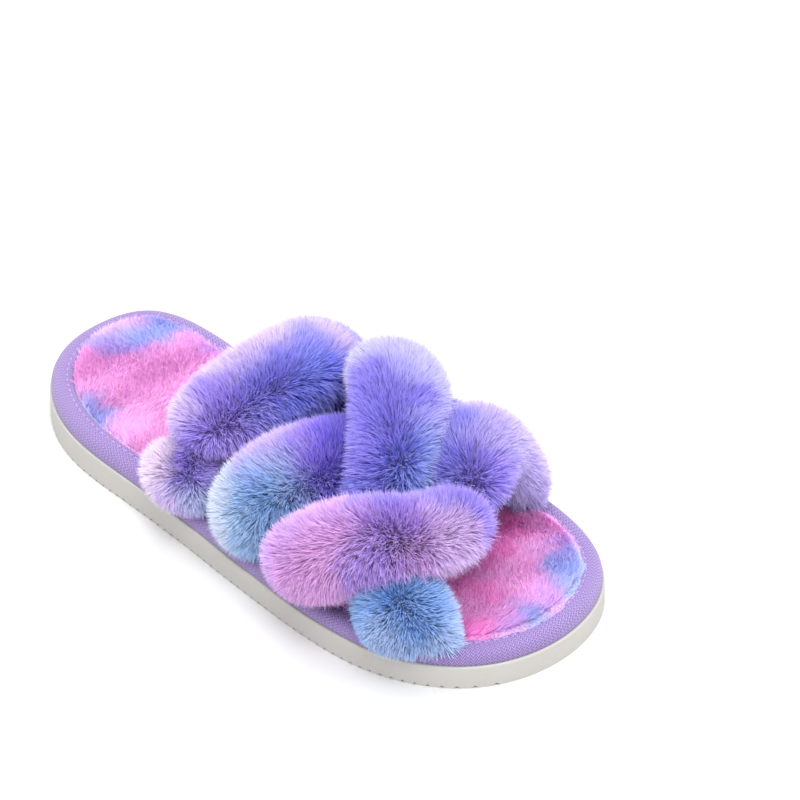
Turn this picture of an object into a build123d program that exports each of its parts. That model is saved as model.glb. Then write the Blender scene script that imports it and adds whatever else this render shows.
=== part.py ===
"""Fluffy slide-on house slipper for a right foot.

An EVA outsole carries a bound insole unit: bottom cloth, insole board, foam pad and
plush sock, held round the rim by a knitted edge binding. Four stuffed plush rolls cross
the foot. The rear, middle and front rolls run from the outer rim to the inner rim, and the
cross roll climbs from the toe end of the outer rim, under the front roll and over the
middle roll, to the inner rim.

Millimetres. +Z is up, the toe points to -Y, and the outer side of the foot is -X. The
origin is on the floor under the middle of the sole.
"""

from build123d import *
import os

os.makedirs("parts", exist_ok=True)

# ---- Outsole ----------------------------------------------------------------
sole_length = 255.0
sole_width = 109.0
heel_thickness = 11.0
toe_thickness = 8.8
tread_pitch = 4.0
tread_groove = 1.8  # width of one groove at the floor
tread_depth = 1.0
outsole_round = 0.6  # rounding of the top rim

# The outline as shares of half the width and half the length, from the heel down the
# outer side to the toe and back up the inner side.
outline_shape = [
    (0.08, 1.0),
    (-0.47, 0.897),
    (-0.767, 0.677),
    (-0.853, 0.342),
    (-0.921, 0.0),
    (-0.995, -0.39),
    (-0.949, -0.674),
    (-0.596, -0.92),
    (0.086, -1.0),
    (0.714, -0.878),
    (0.978, -0.588),
    (0.95, -0.31),
    (0.695, 0.048),
    (0.642, 0.407),
    (0.684, 0.724),
    (0.558, 0.939),
]

# ---- Insole unit, from the outsole upwards -------------------------------------
binding_inset = 0.6  # the binding stands in from the outsole's rim
binding_wall = 1.7
binding_round = 3.2  # the soft outer shoulder of the binding
binding_reach = 8.6  # width of the binding seen from above
binding_under = 7.0  # width of the binding turned under
under_thickness = 0.7
cloth_thickness = 0.4
board_thickness = 0.8
foam_thickness = 1.6  # at the rim, where the binding presses it
foam_crown = 2.0  # further height of the pad inside the rim
sock_backing = 0.5
sock_pile = 4.0
crown_inset = 2.0  # from the inner edge of the binding to the crown
binding_over = 1.7
thread_size = 0.6
thread_inset = 2.2  # from the inner edge of the binding to its thread

# ---- Plush rolls -----------------------------------------------------------------
roll_width = 28.0
roll_height = 22.0
arch_rise = 35.5  # centre of the rear roll at its crest, above its root
sleeve_wall = 4.5  # knitted backing with its pile
sleeve_floor = 1.2  # least wall between the fill and the pile below it
least_core = 0.33  # share of a section that the wall always leaves for the fill
fill_gap = 0.15
roll_gap = 0.6  # between rolls that cross
pinch = 0.72  # share of its height left in a roll that another one crosses
root = 0.42  # share of its height left in a roll where it is sewn down
tab_thickness = 1.0
tab_length = 20.0
tab_root = 4.0  # how far a tab runs in under its roll
tab_reach = 7.5  # how far a tab runs out under the binding
pocket_gap = 0.1
notch_gap = 1.0  # between a roll's root and the pile round it
stitch_size = 0.9
stitch_spacing = 10.0
tack_size = 1.6

# ---- Worked out ------------------------------------------------------------------
half_width = sole_width / 2
half_length = sole_length / 2
slope = (heel_thickness - toe_thickness) / sole_length
middle_thickness = (heel_thickness + toe_thickness) / 2
# The top of the outsole falls a little towards the toe, and the insole unit and the
# rolls are drawn on it.
seat = Plane(origin=(0, 0, middle_thickness), x_dir=(1, 0, 0), z_dir=(0, -slope, 1))

stack_inset = binding_inset + binding_wall
pile_inset = binding_inset + binding_reach
crown_edge = pile_inset + crown_inset
cloth_base = under_thickness
board_base = cloth_base + cloth_thickness
foam_base = board_base + board_thickness
sock_base = foam_base + foam_thickness
margin_top = sock_base + sock_backing  # the roots of the rolls stand on this
binding_top = margin_top + binding_over
crown_top = sock_base + foam_crown
pile_top = crown_top + sock_backing + sock_pile
fill_floor = pile_top + sleeve_floor
notch_depth = root * roll_height + 2 * notch_gap
crossing_lift = roll_height / 2 * (1 + pinch) + roll_gap
foot_axis_height = 15.0  # rolls face away from this height over the middle of the sole
section_steps = 2  # short lofts from each station to the next
outline_steps = 48  # points on a drawn-in outline

# Stations along each roll, outer rim to inner rim: across and along as shares of half
# the width and half the length, rise as a share of the arch, lift as a share of the
# height that a crossing adds, and the shares of full width and height of the section.
rear_route = [
    (-0.63, 0.157, -0.04, 0.0, 0.72, root),
    (-0.75, 0.157, 0.22, 0.0, 0.92, 0.80),
    (-0.73, 0.149, 0.47, 0.0, 1.0, 0.95),
    (-0.57, 0.133, 0.76, 0.0, 1.0, 1.0),
    (-0.21, 0.129, 0.96, 0.0, 1.0, 1.0),
    (0.13, 0.125, 1.0, 0.0, 1.0, 1.0),
    (0.37, 0.133, 0.91, 0.0, 0.95, 0.95),
    (0.53, 0.149, 0.66, 0.0, 0.88, 0.85),
    (0.56, 0.157, 0.32, 0.0, 0.82, 0.70),
    (0.43, 0.157, -0.04, 0.0, 0.70, root),
]
middle_route = [
    (-0.69, -0.125, -0.04, 0.0, 0.72, root),
    (-0.81, -0.133, 0.22, 0.0, 0.92, 0.80),
    (-0.76, -0.141, 0.48, 0.0, 0.95, 0.95),
    (-0.61, -0.188, 0.73, 0.0, 1.0, 1.0),
    (-0.37, -0.243, 0.85, 0.0, 1.0, 1.0),
    (-0.09, -0.27, 0.81, 0.0, 0.95, 0.80),
    (0.11, -0.29, 0.79, 0.0, 1.0, pinch),
    (0.37, -0.29, 0.76, 0.0, 0.92, 0.80),
    (0.60, -0.26, 0.54, 0.0, 0.85, 0.80),
    (0.74, -0.25, 0.24, 0.0, 0.80, 0.70),
    (0.67, -0.25, -0.04, 0.0, 0.70, root),
]
front_route = [
    (-0.74, -0.345, -0.04, 0.0, 0.70, root),
    (-0.89, -0.36, 0.20, 0.1, 0.85, 0.80),
    (-0.91, -0.41, 0.27, 0.3, 0.90, 0.95),
    (-0.88, -0.50, 0.34, 0.68, 0.95, 0.98),
    (-0.76, -0.615, 0.40, 1.04, 0.88, 0.92),
    (-0.55, -0.69, 0.38, 1.08, 0.88, 0.92),
    (-0.31, -0.69, 0.36, 1.0, 0.90, 0.92),
    (-0.02, -0.62, 0.42, 0.98, 0.90, 0.92),
    (0.26, -0.53, 0.50, 0.98, 0.95, 0.95),
    (0.50, -0.475, 0.45, 0.86, 0.95, 0.95),
    (0.69, -0.470, 0.38, 0.36, 0.92, 0.90),
    (0.80, -0.485, 0.22, 0.0, 0.84, 0.72),
    (0.74, -0.50, -0.04, 0.0, 0.70, root),
]
cross_route = [
    (-0.62, -0.80, -0.04, 0.0, 0.70, root),
    (-0.74, -0.78, 0.15, 0.0, 0.85, 0.72),
    (-0.785, -0.725, 0.27, 0.0, 0.95, 0.78),
    (-0.735, -0.65, 0.31, 0.0, 0.92, pinch),
    (-0.61, -0.55, 0.38, 0.0, 0.85, pinch),
    (-0.43, -0.475, 0.68, 0.0, 0.85, 0.78),
    (-0.23, -0.44, 0.79, 0.68, 0.92, 0.88),
    (0.08, -0.33, 0.79, 1.08, 1.0, 1.0),
    (0.34, -0.21, 0.79, 0.94, 1.0, 0.95),
    (0.52, -0.095, 0.79, 0.40, 0.92, 0.92),
    (0.63, -0.062, 0.60, 0.0, 0.88, 0.85),
    (0.65, -0.055, 0.26, 0.0, 0.82, 0.70),
    (0.535, -0.055, -0.04, 0.0, 0.70, root),
]
routes = {
    "rear_roll": rear_route,
    "middle_roll": middle_route,
    "front_roll": front_route,
    "cross_roll": cross_route,
}


def station_point(station):
    """The centre of a roll at a station, on the tilted seat."""
    across, along, rise, lift = station[:4]
    height = margin_top + rise * arch_rise + lift * crossing_lift
    return seat.from_local_coords(Vector(across * half_width, along * half_length, height))


def outline(inset):
    """The sole's outline, drawn in by inset."""
    with BuildLine() as rim:
        Spline(*[(x * half_width, y * half_length) for x, y in outline_shape], periodic=True)
    curve = rim.edge()
    points = []
    for step in range(outline_steps):
        share = step / outline_steps
        inward = Vector(0, 0, 1).cross(curve.tangent_at(share))
        points.append(curve.position_at(share) + inward * inset)
    with BuildSketch() as shape:
        with BuildLine():
            Spline(*points, periodic=True)
        make_face()
    return shape.sketch


def roll_sections(route, wall, gap):
    """Ellipses square to a roll's centreline, flat side towards the foot, drawn in by the
    wall of the sleeve and a gap."""
    points = [station_point(station) for station in route]
    with BuildLine() as centreline:
        Spline(*points)
    curve = centreline.edge()
    places = [curve.param_at_point(point) for point in points]
    sections = []
    for index in range(len(route) - 1):
        for step in range(section_steps + (index == len(route) - 2)):
            share = step / section_steps
            place = places[index] + share * (places[index + 1] - places[index])
            radii = []
            for size, column in ((roll_width, 4), (roll_height, 5)):
                start = route[index][column]
                girth = start + share * (route[index + 1][column] - start)
                half = girth * size / 2
                radii.append(max(half - wall, least_core * half) - gap)
            point = curve.position_at(place)
            along_roll = curve.tangent_at(place)
            side = along_roll.cross(point - Vector(0, point.Y, foot_axis_height))
            with BuildSketch(Plane(point, x_dir=side, z_dir=along_roll)) as section:
                Ellipse(*radii)
            sections.append(section.sketch)
    return sections


def joined_lofts(sections):
    """Short lofts from each section to the next, joined end to end."""
    with BuildPart() as body:
        for first, second in zip(sections, sections[1:]):
            loft(sections=[first, second])
    return body.part


def core(route, gap):
    """The space inside a roll, without its two roots and clear of the pile."""
    sections = roll_sections(route, sleeve_wall, gap)
    with BuildPart() as body:
        add(joined_lofts(sections[section_steps:-section_steps]))
        with BuildSketch(seat.offset(fill_floor + gap)):
            Rectangle(2 * sole_width, 2 * sole_length)
        extrude(amount=-2 * roll_height, mode=Mode.SUBTRACT)
    return body.part


roots = [
    (end[0] * half_width, end[1] * half_length, -1 if end is route[0] else 1)
    for route in routes.values()
    for end in (route[0], route[-1])
]
tab_centres = [(x + side * (tab_reach - tab_root) / 2, y) for x, y, side in roots]
stitch_spots = [
    (x + side * tab_reach / 2, y + end * stitch_spacing / 2)
    for x, y, side in roots
    for end in (-1, 1)
]


def tabs(grow):
    """The flat sewing tabs of all rolls, kept inside the binding's wall."""
    with BuildSketch() as shape:
        with Locations(*tab_centres):
            Rectangle(tab_reach + tab_root + 2 * grow, tab_length + 2 * grow)
        add(outline(stack_inset), mode=Mode.INTERSECT)
    return shape.sketch


def notches():
    """The places left free of pile and foam crown round the roots of the rolls."""
    with BuildSketch() as shape:
        for x, y, side in roots:
            with Locations((x + side * notch_depth / 2, y)):
                Rectangle(2 * notch_depth, tab_length + 2 * notch_gap)
    return shape.sketch


def stitch_holes():
    with BuildSketch() as shape:
        with Locations(*stitch_spots):
            Circle(stitch_size / 2)
    return shape.sketch


# ---- Outsole: a ribbed EVA slab with a raised seat inside the binding --------------
# An even count, so that the middle of the sole is a rib.
rib_count = 2 * int(sole_length / tread_pitch / 2)
first_groove = -(rib_count - 1) * tread_pitch / 2
side_profile = [(-half_length - tread_pitch, 0.0)]
for rib in range(rib_count):
    groove = first_groove + rib * tread_pitch
    side_profile.append((groove - tread_groove / 2, 0.0))
    side_profile.append((groove, tread_depth))
    side_profile.append((groove + tread_groove / 2, 0.0))
side_profile.append((half_length + tread_pitch, 0.0))
side_profile.append(
    (half_length + tread_pitch, middle_thickness + slope * (half_length + tread_pitch))
)
side_profile.append(
    (-half_length - tread_pitch, middle_thickness - slope * (half_length + tread_pitch))
)

with BuildPart() as outsole:
    with BuildSketch(Plane.XY):
        add(outline(0))
    extrude(amount=2 * heel_thickness)
    with BuildSketch(Plane.YZ):
        with BuildLine():
            Polyline(*side_profile, close=True)
        make_face()
    extrude(amount=sole_width, both=True, mode=Mode.INTERSECT)
    top_rim = outsole.faces().filter_by(lambda face: face.normal_at().Z > 0.9).sort_by(Axis.Z)[-1]
    fillet(top_rim.outer_wire().edges(), outsole_round)
    with BuildSketch(seat):
        add(outline(binding_inset + binding_under))
    extrude(amount=under_thickness)
outsole.part.label = "outsole"
export_step(outsole.part, "parts/outsole.step")

# ---- Bottom cloth --------------------------------------------------------------------
with BuildPart() as bottom_cloth:
    with BuildSketch(seat.offset(cloth_base)):
        add(outline(stack_inset))
    extrude(amount=cloth_thickness)
bottom_cloth.part.label = "bottom_cloth"
export_step(bottom_cloth.part, "parts/bottom_cloth.step")

# ---- Insole board: stiff fibre sheet ---------------------------------------------------
with BuildPart() as insole_board:
    with BuildSketch(seat.offset(board_base)):
        add(outline(stack_inset))
        add(stitch_holes(), mode=Mode.SUBTRACT)
    extrude(amount=board_thickness)
insole_board.part.label = "insole_board"
export_step(insole_board.part, "parts/insole_board.step")

# ---- Foam pad: thin at the rim, crowned under the foot ----------------------------------
with BuildPart() as foam_pad:
    with BuildSketch(seat.offset(foam_base)):
        add(outline(stack_inset))
    extrude(amount=foam_thickness)
    with BuildSketch(seat.offset(sock_base)):
        add(outline(crown_edge))
        add(notches(), mode=Mode.SUBTRACT)
    extrude(amount=foam_crown)
    with BuildSketch(seat.offset(foam_base)):
        add(stitch_holes())
    extrude(amount=foam_thickness, mode=Mode.SUBTRACT)
foam_pad.part.label = "foam_pad"
export_step(foam_pad.part, "parts/foam_pad.step")

# ---- Plush sock: backing out to the wall of the binding, pile inside it -------------------
with BuildPart() as plush_sock:
    with BuildSketch(seat.offset(sock_base)):
        add(outline(stack_inset))
    extrude(amount=sock_backing)
    with BuildSketch(seat.offset(margin_top)):
        add(outline(pile_inset))
        add(notches(), mode=Mode.SUBTRACT)
    extrude(amount=pile_top - margin_top)
    with BuildSketch(seat.offset(sock_base)):
        add(outline(crown_edge))
        add(notches(), mode=Mode.SUBTRACT)
    extrude(amount=foam_crown, mode=Mode.SUBTRACT)
    with BuildSketch(seat.offset(sock_base)):
        add(stitch_holes())
    extrude(amount=sock_backing, mode=Mode.SUBTRACT)
plush_sock.part.label = "plush_sock"
export_step(plush_sock.part, "parts/plush_sock.step")

# ---- Edge binding: a knitted tape turned over the rim of the insole unit -------------------
with BuildPart() as edge_binding:
    with BuildSketch(seat):
        add(outline(binding_inset))
    extrude(amount=binding_top)
    shoulder = edge_binding.faces().sort_by(Axis.Z)[-1].outer_wire().edges()
    fillet(shoulder, binding_round)
    with BuildSketch(seat):
        add(outline(binding_inset + binding_under))
    extrude(amount=under_thickness, mode=Mode.SUBTRACT)
    with BuildSketch(seat.offset(cloth_base)):
        add(outline(stack_inset))
    extrude(amount=margin_top - cloth_base, mode=Mode.SUBTRACT)
    with BuildSketch(seat.offset(margin_top)):
        add(outline(pile_inset))
    extrude(amount=binding_over, mode=Mode.SUBTRACT)
    with BuildSketch(seat.offset(margin_top)):
        add(tabs(pocket_gap))
    extrude(amount=tab_thickness, mode=Mode.SUBTRACT)
    with BuildSketch(seat.offset(binding_top - thread_size)):
        add(outline(pile_inset - thread_inset))
        add(outline(pile_inset - thread_inset + thread_size), mode=Mode.SUBTRACT)
    extrude(amount=thread_size, mode=Mode.SUBTRACT)
edge_binding.part.label = "edge_binding"
export_step(edge_binding.part, "parts/edge_binding.step")

# ---- Binding thread: lies in its groove round the binding ------------------------------------
with BuildPart() as binding_thread:
    with BuildSketch(seat.offset(binding_top - thread_size)):
        add(outline(pile_inset - thread_inset))
        add(outline(pile_inset - thread_inset + thread_size), mode=Mode.SUBTRACT)
    extrude(amount=thread_size)
binding_thread.part.label = "binding_thread"
export_step(binding_thread.part, "parts/binding_thread.step")

# ---- End stitches: two for each tab, down to the underside of the board ---------------------
with BuildPart() as end_stitches:
    with BuildSketch(seat.offset(board_base)):
        add(stitch_holes())
    extrude(amount=margin_top + tab_thickness - board_base)
end_stitches.part.label = "end_stitches"
export_step(end_stitches.part, "parts/end_stitches.step")

# ---- Crossing tacks: thread through the two walls where one roll crosses another ---------------
cores = {roll_name: core(route, 0) for roll_name, route in routes.items()}
crossings = [("cross_roll", 3, "front_roll", 4), ("middle_roll", 6, "cross_roll", 7)]

with BuildPart() as crossing_tacks:
    for lower, lower_station, upper, upper_station in crossings:
        start = station_point(routes[lower][lower_station])
        reach = station_point(routes[upper][upper_station]) - start
        with BuildSketch(Plane(start, z_dir=reach)):
            Circle(tack_size / 2)
        extrude(amount=reach.length)
    for space in cores.values():
        add(space, mode=Mode.SUBTRACT)
crossing_tacks.part.label = "crossing_tacks"
export_step(crossing_tacks.part, "parts/crossing_tacks.step")

# ---- Rolls: a plush sleeve and its fibre fill ---------------------------------------------------
for roll_name, route in routes.items():
    with BuildPart() as sleeve:
        add(joined_lofts(roll_sections(route, 0, 0)))
        # The root is trimmed to the margin, and the overhang to the top of the binding.
        with BuildSketch(seat.offset(margin_top)):
            Rectangle(2 * sole_width, 2 * sole_length)
        extrude(amount=-roll_height, mode=Mode.SUBTRACT)
        with BuildSketch(seat.offset(margin_top)):
            Rectangle(2 * sole_width, 2 * sole_length)
            add(outline(pile_inset + pocket_gap), mode=Mode.SUBTRACT)
        extrude(amount=binding_over, mode=Mode.SUBTRACT)
        with BuildSketch(seat.offset(margin_top)):
            add(outline(pile_inset))
            add(notches(), mode=Mode.SUBTRACT)
        extrude(amount=pile_top - margin_top, mode=Mode.SUBTRACT)
        # The sewing tabs under the binding.
        with BuildSketch(seat.offset(margin_top)):
            for end in (route[0], route[-1]):
                side = -1 if end is route[0] else 1
                tab_centre = end[0] * half_width + side * (tab_reach - tab_root) / 2
                with Locations((tab_centre, end[1] * half_length)):
                    Rectangle(tab_reach + tab_root, tab_length)
            add(outline(stack_inset + pocket_gap), mode=Mode.INTERSECT)
        extrude(amount=tab_thickness)
        add(cores[roll_name], mode=Mode.SUBTRACT)
        with BuildSketch(seat.offset(margin_top)):
            add(stitch_holes())
        extrude(amount=tab_thickness, mode=Mode.SUBTRACT)
        add(crossing_tacks.part, mode=Mode.SUBTRACT)
    sleeve.part.label = roll_name + "_sleeve"
    export_step(sleeve.part, "parts/" + roll_name + "_sleeve.step")

    with BuildPart() as fill:
        add(core(route, fill_gap))
    fill.part.label = roll_name + "_fill"
    export_step(fill.part, "parts/" + roll_name + "_fill.step")
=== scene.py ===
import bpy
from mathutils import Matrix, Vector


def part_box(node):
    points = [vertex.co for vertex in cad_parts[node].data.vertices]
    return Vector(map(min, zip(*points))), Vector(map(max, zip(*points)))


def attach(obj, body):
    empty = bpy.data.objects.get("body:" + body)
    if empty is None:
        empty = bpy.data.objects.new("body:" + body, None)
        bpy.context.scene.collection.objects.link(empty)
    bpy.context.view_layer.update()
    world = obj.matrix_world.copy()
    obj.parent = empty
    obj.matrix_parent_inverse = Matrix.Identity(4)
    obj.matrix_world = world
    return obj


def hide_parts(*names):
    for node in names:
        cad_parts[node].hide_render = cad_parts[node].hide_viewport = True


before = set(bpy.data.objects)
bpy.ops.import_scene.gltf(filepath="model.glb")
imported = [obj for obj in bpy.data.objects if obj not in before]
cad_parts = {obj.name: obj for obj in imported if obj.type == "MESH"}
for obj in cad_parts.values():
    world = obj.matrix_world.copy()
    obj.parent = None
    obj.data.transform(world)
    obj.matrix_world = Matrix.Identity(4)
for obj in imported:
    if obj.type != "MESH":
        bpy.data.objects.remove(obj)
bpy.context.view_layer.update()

import math

import bmesh
import bpy
import numpy as np
from bpy.props import FloatProperty, FloatVectorProperty, IntProperty
from mathutils import Matrix, Vector
from mathutils.bvhtree import BVHTree

bl_info = {
    "name": "Fluffy House Slipper",
    "version": (1, 0, 0),
    "blender": (4, 5, 0),
    "location": "View3D > Sidebar > Slipper",
    "description": "Dresses the packed slipper: pile, binding, cushion and stage",
    "category": "Object",
}

MM = 0.001
ROLLS = ("rear_roll", "middle_roll", "front_roll", "cross_roll")

# Where each dye lies on the rolls and the insole: a place in millimetres and a dye's name.
# On the rolls the deep blues in the folds and where rolls cross are painted shade, and the pale violets on
# the tops and far rims are partly dye and partly painted light.
ROLL_DYES = {
    "rear_roll": (
        (-52, 30, 27, "lilac"), (-55, 16, 20, "lavender"), (-50, 6, 24, "periwinkle"),
        (-50, 8, 38, "violet"), (-44, 11, 48, "violet"), (-42, 22, 53, "lavender"),
        (-33, 1, 50, "violet"), (-31, 16, 59, "violet"), (-22, -1, 52, "iris"),
        (-18, 4, 59, "iris"), (-18, 22, 63, "lavender"), (-12, -2, 50, "ultramarine_fold_shade"),
        (-5, 5, 62, "iris"), (-1, -3, 53, "ultramarine_fold_shade"), (3, 1, 60, "cornflower"),
        (-2, 22, 65, "lavender"), (12, -2, 52, "ultramarine_fold_shade"), (12, 8, 64, "iris"),
        (22, 10, 61, "lavender"), (30, 18, 50, "iris"), (32, 20, 25, "cornflower"),
    ),
    "middle_roll": (
        (-58, -13, 22, "pale_sky"), (-56, -26, 20, "sky"), (-56, -11, 32, "pale_sky"),
        (-54, -24, 36, "sky"), (-50, -32, 38, "azure"), (-48, -28, 46, "azure"),
        (-45, -38, 38, "azure"), (-43, -22, 52, "periwinkle"), (-41, -34, 48, "sky"),
        (-35, -14, 55, "lavender"), (-38, -30, 54, "periwinkle"), (-36, -42, 46, "iris"),
        (-33, -37, 54, "violet"), (-28, -30, 59, "violet"), (-27, -43, 54, "indigo_crossing_shade"),
        (-31, -46, 46, "indigo_crossing_shade"), (-20, -38, 58, "indigo_crossing_shade"), (0, -40, 50, "indigo_crossing_shade"),
        (28, -42, 49, "ultramarine_fold_shade"), (38, -36, 35, "iris"),
    ),
    "front_roll": (
        (-62, -42, 28, "orchid"), (-65, -56, 29, "pink"), (-64, -57, 38, "pink"),
        (-58, -50, 44, "orchid"), (-62, -68, 40, "pink"), (-58, -64, 50, "pink"),
        (-57, -74, 53, "pink"), (-52, -60, 56, "orchid"), (-49, -77, 61, "orchid"),
        (-54, -84, 53, "amethyst"), (-56, -86, 44, "amethyst"), (-44, -82, 63, "amethyst"),
        (-49, -91, 54, "amethyst"), (-38, -90, 62, "amethyst"), (-40, -98, 54, "orchid"),
        (-30, -102, 56, "lilac_pink"), (-22, -98, 60, "lilac_pink"), (-33, -75, 63, "violet"),
        (-14, -88, 58, "violet"), (0, -74, 57, "iris"), (6, -81, 57, "violet"),
        (4, -96, 52, "violet"), (11, -64, 57, "iris"), (16, -72, 57, "lavender"),
        (16, -86, 50, "violet"), (27, -72, 54, "lavender"), (32, -60, 54, "lavender"),
        (36, -77, 40, "lavender"), (36, -77, 28, "lavender"), (46, -64, 30, "lilac"),
    ),
    "cross_roll": (
        (-40, -102, 36, "sky"), (-50, -102, 32, "azure"), (-56, -96, 24, "pale_sky"),
        (-54, -84, 28, "sky"), (-44, -108, 33, "sky"), (-32, -108, 27, "pale_sky"),
        (-39, -114, 22, "pale_sky"), (-45, -90, 38, "azure"), (-31, -58, 52, "iris"),
        (-26, -54, 60, "violet"), (-24, -63, 60, "iris"), (-17, -69, 62, "cornflower"),
        (-9, -73, 60, "periwinkle"), (-18, -57, 68, "violet"), (-13, -65, 68, "iris"),
        (-5, -68, 66, "periwinkle"), (-13, -53, 73, "violet"), (1, -62, 70, "lavender"),
        (-7, -45, 75, "violet"), (-9, -36, 72, "violet"), (2, -52, 76, "violet"),
        (9, -43, 77, "lavender"), (18, -45, 74, "lilac"), (2, -26, 73, "violet"),
        (16, -23, 75, "lilac"), (16, -10, 68, "lilac"), (34, -12, 60, "lavender"),
    ),
}
INSOLE_DYES = (
    (12, 112, 20, "lilac_pink"), (10, 103, 20, "periwinkle"), (0, 104, 20, "lavender"),
    (20, 102, 20, "periwinkle"), (-10, 100, 20, "candy"), (-16, 106, 20, "candy"),
    (-5, 94, 20, "candy"), (6, 88, 20, "candy"), (20, 88, 20, "candy"),
    (26, 84, 20, "orchid"), (-24, 97, 20, "candy"), (-33, 88, 20, "periwinkle"),
    (-36, 80, 20, "periwinkle"), (-27, 84, 20, "candy"), (-14, 80, 20, "candy"),
    (0, 76, 20, "candy"), (14, 76, 20, "candy"), (-24, 66, 20, "candy"),
    (-34, 63, 20, "candy"), (-40, 68, 20, "orchid"), (-40, 52, 20, "candy"),
    (-18, 60, 20, "candy"), (-4, 60, 20, "candy"), (10, 60, 20, "orchid"),
    (0, 30, 20, "candy"), (-20, 20, 20, "candy"), (15, 0, 20, "candy"),
    (-10, -20, 20, "candy"), (20, -40, 20, "candy"), (0, -60, 20, "candy"),
    (24, -78, 20, "rose"), (12, -82, 20, "rose"), (34, -84, 20, "candy"),
    (14, -96, 20, "candy"), (24, -94, 20, "candy"), (32, -96, 20, "orchid"),
    (24, -104, 20, "periwinkle"), (30, -102, 20, "periwinkle"), (4, -98, 20, "candy"),
    (10, -104, 20, "candy"), (18, -110, 20, "periwinkle"), (-6, -100, 20, "rose"),
    (0, -108, 20, "candy"), (6, -113, 20, "orchid"), (-4, -117, 20, "periwinkle"),
    (-12, -106, 20, "candy"), (-12, -114, 20, "orchid"), (-22, -112, 20, "rose"),
)

# A scale on each roll's red, green and blue, which lightens the rear and middle rolls and darkens the
# front and cross rolls.
ROLL_DYE_SCALES = {
    "rear_roll": (1.18, 1.18, 1.10), "middle_roll": (1.14, 1.08, 1.12),
    "front_roll": (0.95, 0.98, 0.97), "cross_roll": (0.80, 0.89, 0.99),
}
# How much further a roll's body is drawn in than the others, in millimetres.
SLIMMER = {"rear_roll": 0.0, "middle_roll": 0.0, "front_roll": 1.2, "cross_roll": 1.6}

# Creases where a roll is drawn in, or swells if the depth is negative: its roll, the place on
# the roll's middle line and the way the roll runs there, then the depth and half-width, all in
# millimetres.
CREASES = (
    ("rear_roll", (-41, 19, 37), (0.3, 0.0, 0.95), 7.5, 4.5),
    ("rear_roll", (-44, 22, 22), (-0.1, 0.0, 1.0), -2.5, 8.0),
    ("front_roll", (-5, -80, 47), (0.85, 0.5, 0.0), 6.5, 4.5),
    ("cross_roll", (-42, -94, 24), (0.3, 0.9, 0.2), -4.2, 10.0),
)


def dye_property(name, description, default):
    return FloatVectorProperty(
        name=name, description=description, default=default, size=3, min=0.0, max=1.0, subtype="COLOR"
    )


def length_property(name, description, default):
    return FloatProperty(name=name, description=description, default=default, unit="LENGTH")


class SlipperDyes(bpy.types.PropertyGroup):
    """The dyes of the pile, a few of them carrying painted shade or painted light, and the colours of the
    other parts, as scene linear colours.
    """

    pale_sky: dye_property("Pale Sky", "Palest blue, on the rim of the middle roll", (0.68, 0.79, 0.99))
    sky: dye_property("Sky", "Light blue of the middle and cross rolls", (0.44, 0.68, 0.99))
    azure: dye_property("Azure", "Clear blue of the middle and cross rolls", (0.30, 0.58, 0.98))
    cornflower: dye_property("Cornflower", "Stronger blue of the rear roll", (0.28, 0.35, 0.97))
    # Ultramarine: blue dye deepened with painted shade in the folds of the rolls.
    ultramarine_fold_shade: dye_property("Ultramarine", "Deep blue in the folds", (0.20, 0.23, 0.91))
    # Indigo: painted shade where one roll passes under another.
    indigo_crossing_shade: dye_property("Indigo", "Darkest violet blue, where rolls cross", (0.20, 0.15, 0.79))
    iris: dye_property("Iris", "Blue violet", (0.36, 0.33, 0.95))
    violet: dye_property("Violet", "Main violet of the rolls", (0.45, 0.33, 0.95))
    amethyst: dye_property("Amethyst", "Red violet of the front roll", (0.62, 0.38, 0.95))
    periwinkle: dye_property("Periwinkle", "Soft blue violet", (0.53, 0.60, 0.99))
    # Lavender on the rolls' tops and far rims is partly dye and partly painted light.
    lavender: dye_property("Lavender", "Pale violet on top of the rolls", (0.68, 0.57, 0.99))
    # Lilac on the rims is partly dye and partly painted rim light.
    lilac: dye_property("Lilac", "Palest violet of the rims", (0.81, 0.70, 0.99))
    lilac_pink: dye_property("Lilac Pink", "Pale pink violet", (0.87, 0.64, 0.99))
    orchid: dye_property("Orchid", "Pink violet", (0.84, 0.52, 0.97))
    pink: dye_property("Pink", "Pink of the front roll", (0.93, 0.53, 0.95))
    candy: dye_property("Candy", "Pink of the insole", (1.0, 0.55, 0.92))
    rose: dye_property("Rose", "Stronger pink towards the toe", (1.0, 0.34, 0.80))
    binding: dye_property("Binding", "Knitted edge binding", (0.30, 0.215, 0.46))
    thread: dye_property("Thread", "Sewing thread", (0.46, 0.30, 0.72))
    sole: dye_property("Sole", "EVA outsole", (0.49, 0.475, 0.45))
    board: dye_property("Board", "Fibre insole board", (0.27, 0.18, 0.11))
    lining: dye_property("Lining", "Bottom cloth", (0.34, 0.26, 0.42))


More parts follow.
